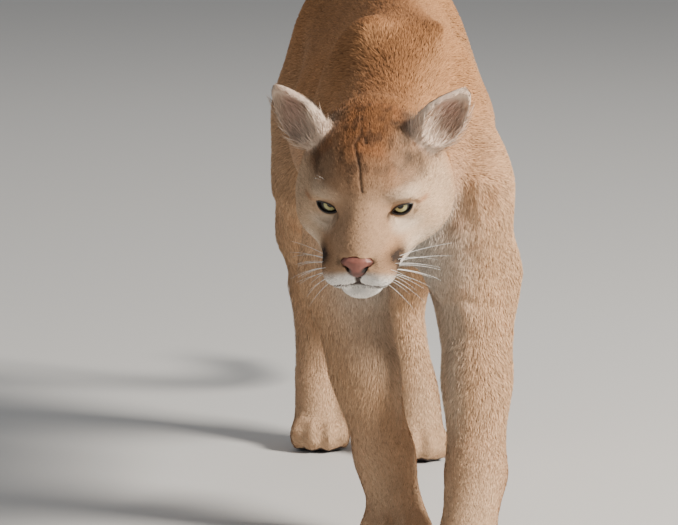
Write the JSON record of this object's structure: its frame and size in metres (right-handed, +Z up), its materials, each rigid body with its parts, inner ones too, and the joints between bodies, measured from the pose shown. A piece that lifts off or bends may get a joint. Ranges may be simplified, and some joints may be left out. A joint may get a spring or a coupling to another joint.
{
  "type": "cougar model",
  "caption": "Life-size still model of a cougar in mid-walk, head held low and turned a little, one forefoot set forward, long tail hanging behind, standing on flat soles.",
  "frame": {"origin": "middle of the bounding box on the floor, the plane of the soles", "axes": "+Z up, the animal faces -Y, its left side is towards +X"},
  "size_m": [0.3352, 1.6206, 0.7166],
  "materials": {
    "coat": "short dense tawny fur, redder on the crown, paler on the legs",
    "pale_coat": "short white to cream fur",
    "dark_coat": "dark brown to black fur",
    "nose_leather": "bare pink nose leather with a dark rim",
    "eye": "glossy eyeball, pale yellow-green iris, dark round pupil"
  },
  "bodies": {
    "root": {"ear_left": "coat", "ear_right": "coat", "eye_left": "eye", "eye_right": "eye", "foreleg_left": "coat", "foreleg_right": "coat", "forepaw_left": "coat", "forepaw_right": "coat", "head": "coat", "hindleg_left": "coat", "hindleg_right": "coat", "hindpaw_left": "coat", "hindpaw_right": "coat", "jaw": "pale_coat", "neck": "coat", "nose": "nose_leather", "tail_root": "coat", "tail_tip": "dark_coat", "torso": "coat"}
  },
  "joints": []
}
